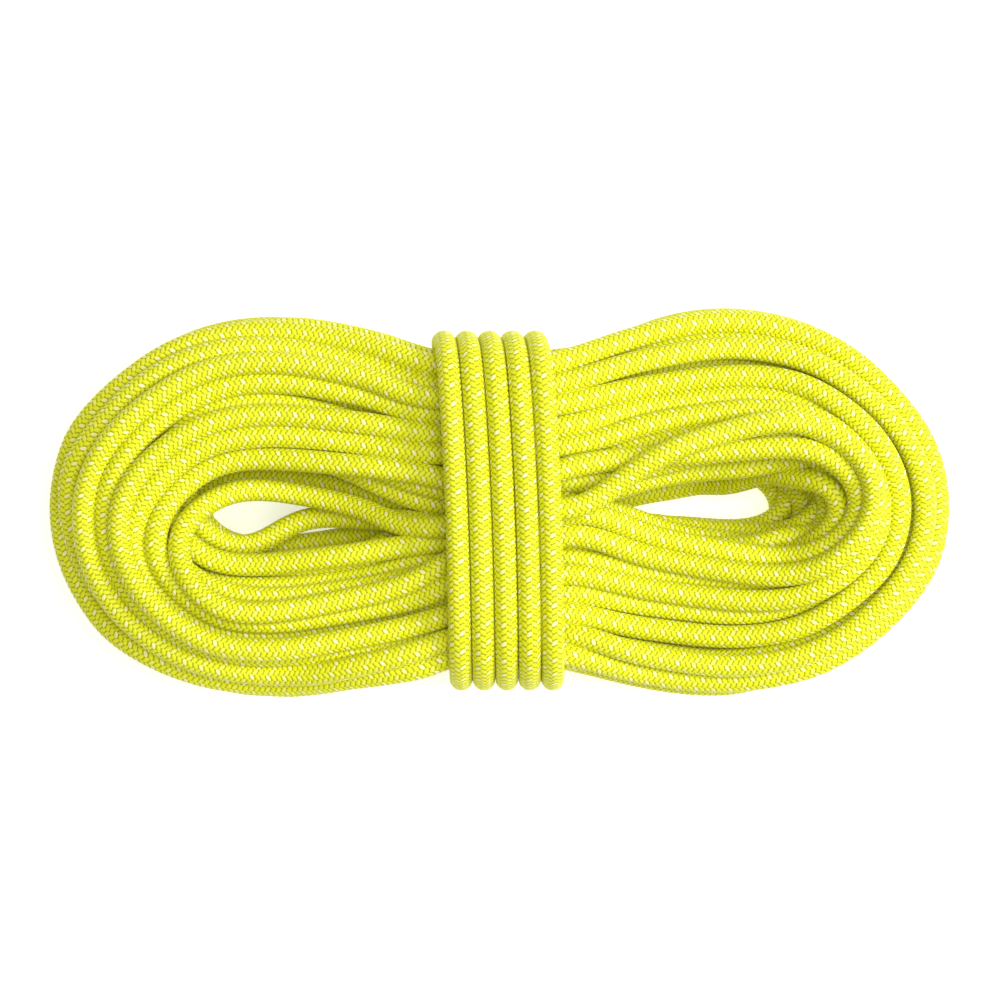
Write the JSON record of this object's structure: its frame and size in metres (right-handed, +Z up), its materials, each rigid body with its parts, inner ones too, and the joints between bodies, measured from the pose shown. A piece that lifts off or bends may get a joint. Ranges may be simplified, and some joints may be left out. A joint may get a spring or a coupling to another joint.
{
  "type": "dynamic climbing rope hank",
  "caption": "Dynamic climbing rope wound in a flat oval hank with two eyes, bound round its middle with turns of itself, with sleeved ends.",
  "frame": {"origin": "middle of the hank's underside, where it rests on the ground", "axes": "+X along the hank, +Y across it, +Z up out of the ground"},
  "size_m": [0.386, 0.163, 0.0811],
  "materials": {
    "sheath": "braided polyamide yarn, fluorescent yellow with white and beige flecks",
    "end_sleeve": "clear shrunk film, glossy",
    "sealed_tip": "melted polyamide, uneven and slightly glossy"
  },
  "bodies": {
    "rope": {"hank": "sheath", "binding_turn_1": "sheath", "binding_turn_2": "sheath", "binding_turn_3": "sheath", "binding_turn_4": "sheath", "binding_turn_5": "sheath", "tail_left": "sheath", "sleeve_left": "end_sleeve", "tip_left": "sealed_tip", "tail_right": "sheath", "sleeve_right": "end_sleeve", "tip_right": "sealed_tip"}
  },
  "joints": []
}
